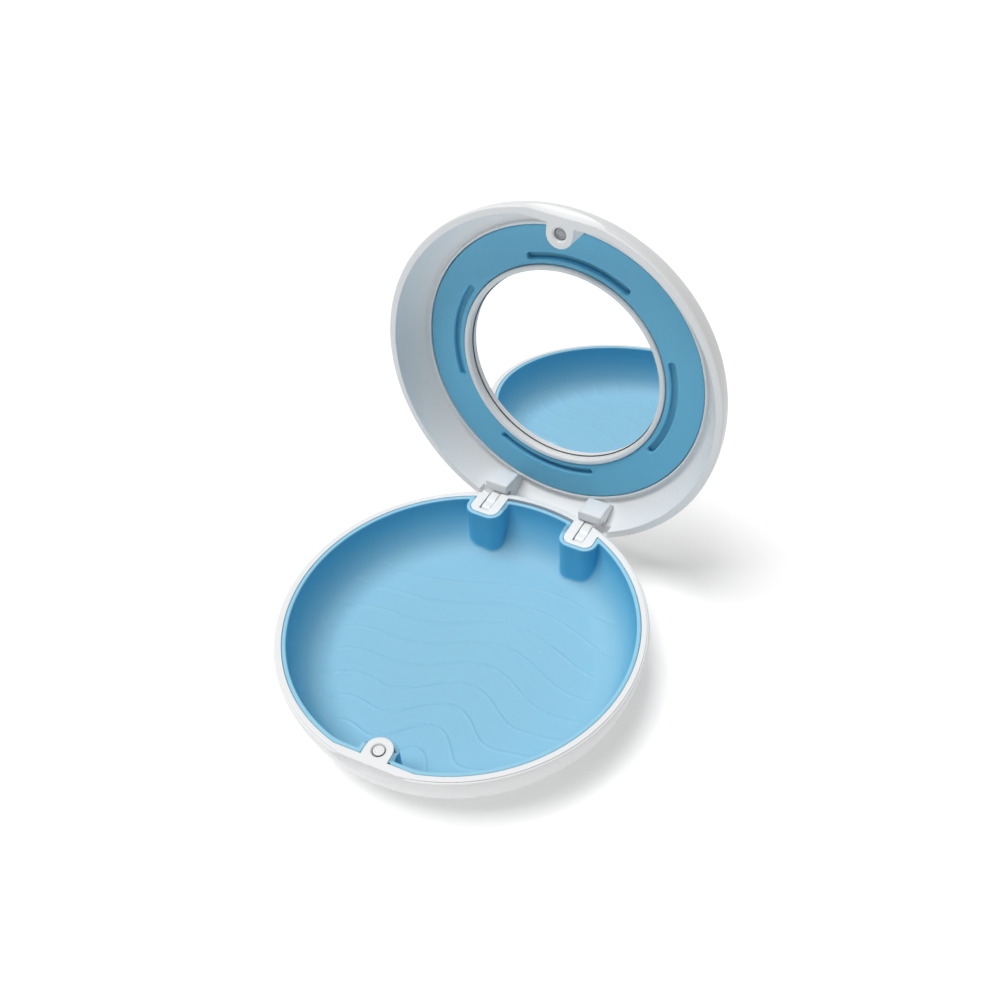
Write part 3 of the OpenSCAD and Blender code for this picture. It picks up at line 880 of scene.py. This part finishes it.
def build_liner():
    side = GRID + 1
    floor_z = FLOOR_T + LINER_T
    flat = np.stack([grid_x, grid_y, np.full_like(grid_x, floor_z)], axis=-1)
    points = list(with_ridges(flat).reshape(-1, 3))
    faces = [(i * side + j, (i + 1) * side + j, (i + 1) * side + j + 1, i * side + j + 1)
             for i in range(GRID) for j in range(GRID)]
    ring = [i * side + j for i, j in edge]
    count = len(ring)
    for row in liner_rows():
        first = len(points)
        points.extend(row)
        following = [first + k for k in range(count)]
        faces += [(ring[k], following[k], following[(k + 1) % count], ring[(k + 1) % count])
                  for k in range(count)]
        ring = following
    faces.append(tuple(ring))
    return build_mesh("silicone_liner", points, faces)


liner = build_liner()
wear(liner, liner_blue_painted_shade)
smooth_faces(liner, 60)
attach(liner, "base")
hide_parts("base_liner")
print("liner:", len(liner.data.polygons), "faces")

# %% [markdown]
# ## The ring in the lid
#
# The mirror sits in a flat ring of the same soft material. Four curved slots run round its inner
# edge, and the magnet's boss cuts a round bite out of its front. A filled curve suits this piece:
# one outline, five holes, and a thickness with a rounded edge. The curve is then turned into a mesh
# and set into the lid by the lid's own matrix.

# %% Outline and slots of the ring
RING_IN = 27.7
RING_OUT = 37.4
RING_DEPTH = 8.5
RING_T = 1.6
RING_SOFT = 0.35
SLOT_R = 29.85
SLOT_W = 1.7
SLOT_SPAN = math.radians(50)
SLOT_TURN = math.radians(7)
SLOT_COUNT = 4
RING_BITE = BOSS_R + 0.2


def arc(radius, first, last, steps, centre=(0.0, 0.0)):
    angles = [first + (last - first) * k / steps for k in range(steps + 1)]
    return [(centre[0] + radius * math.cos(a), centre[1] + radius * math.sin(a)) for a in angles]


def ring_outline():
    """The outer edge, with the bite that the boss's round nose takes out of it."""
    c, s = math.cos(LATCH_TURN), math.sin(LATCH_TURN)
    toward = math.atan2(-c, s)
    nose_at = (math.cos(toward) * BOSS_Y, math.sin(toward) * BOSS_Y)
    reach = math.acos((RING_OUT ** 2 - BOSS_Y ** 2 - RING_BITE ** 2) / (2 * BOSS_Y * RING_BITE))
    rim = arc(RING_OUT, toward + bite_half(), toward - bite_half() + 2 * math.pi, 360)
    nose = arc(RING_BITE, toward - reach, toward - 2 * math.pi + reach, 32, nose_at)
    return rim + nose[1:-1]


def bite_half():
    """Half the angle that the boss's nose takes out of the ring's edge, seen from the axis."""
    return math.acos((RING_OUT ** 2 + BOSS_Y ** 2 - RING_BITE ** 2) / (2 * RING_OUT * BOSS_Y))


def slot_outline(turn):
    """One curved slot with round ends."""
    half = SLOT_SPAN / 2
    tip_a = (SLOT_R * math.cos(turn + half), SLOT_R * math.sin(turn + half))
    tip_b = (SLOT_R * math.cos(turn - half), SLOT_R * math.sin(turn - half))
    outer = arc(SLOT_R + SLOT_W / 2, turn - half, turn + half, 48)
    inner = arc(SLOT_R - SLOT_W / 2, turn + half, turn - half, 48)
    round_a = arc(SLOT_W / 2, turn + half, turn + half + math.pi, 12, tip_a)
    round_b = arc(SLOT_W / 2, turn - half + math.pi, turn - half + 2 * math.pi, 12, tip_b)
    return outer + round_a[1:-1] + inner + round_b[1:-1]

# %% [markdown]
# The slots are grooves and not holes, so a thin web closes them from behind. The web is a deeper
# blue than the ring, as painted shade in the slots.

# %% Floor of the slots
WEB_IN = 28.8
WEB_OUT = 31.2
WEB_T = 0.15
WEB_ROUND = 240


def slot_floor():
    """The web's points and faces in the closed lid's frame."""
    back_z = RING_DEPTH + RING_T
    section = [(WEB_IN, back_z - WEB_T), (WEB_OUT, back_z - WEB_T),
               (WEB_OUT, back_z), (WEB_IN, back_z)]
    return carried_round(section, WEB_ROUND)

# %% [markdown]
# The curve becomes a mesh, the web joins it as a second material, and the lid's matrix sets both in
# place.

# %% Build the ring
HOLE_STEPS = 288


def build_ring():
    curve = bpy.data.curves.new("ring_outline", "CURVE")
    curve.dimensions = "2D"
    curve.fill_mode = "BOTH"
    last = HOLE_STEPS - 1
    loops = [ring_outline(), arc(RING_IN, 0, -2 * math.pi * last / HOLE_STEPS, last)]
    loops += [slot_outline(SLOT_TURN + k * 2 * math.pi / SLOT_COUNT) for k in range(SLOT_COUNT)]
    for loop in loops:
        spline = curve.splines.new("POLY")
        spline.points.add(len(loop) - 1)
        for point, (x, y) in zip(spline.points, loop):
            point.co = (x * MM, y * MM, 0, 1)
        spline.use_cyclic_u = True
    curve.extrude = (RING_T / 2 - RING_SOFT) * MM
    curve.bevel_depth = RING_SOFT * MM
    curve.bevel_resolution = 3
    curve.offset = -RING_SOFT * MM
    shape = bpy.data.objects.new("ring_outline", curve)
    bpy.context.scene.collection.objects.link(shape)
    bpy.context.view_layer.update()
    finished = shape.evaluated_get(bpy.context.evaluated_depsgraph_get())
    mesh = bpy.data.meshes.new_from_object(finished)
    bpy.data.objects.remove(shape)
    mesh.transform(Matrix.Translation((0, 0, (RING_DEPTH + RING_T / 2) * MM)))
    whole = bmesh.new()
    whole.from_mesh(mesh)
    points, faces = slot_floor()
    corners = [whole.verts.new(point) for point in points]
    for face in faces:
        whole.faces.new([corners[i] for i in face]).material_index = 1
    whole.to_mesh(mesh)
    whole.free()
    mesh.transform(lid_place)
    piece = bpy.data.objects.new("silicone_lid_ring", mesh)
    bpy.context.scene.collection.objects.link(piece)
    return piece


lid_ring = build_ring()
lid_ring.data.materials.clear()
lid_ring.data.materials.append(ring_blue)
lid_ring.data.materials.append(slot_blue_painted_shade)
smooth_faces(lid_ring, 40)
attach(lid_ring, "lid")
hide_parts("lid_ring")
compare_boxes("lid_ring", lid_ring)
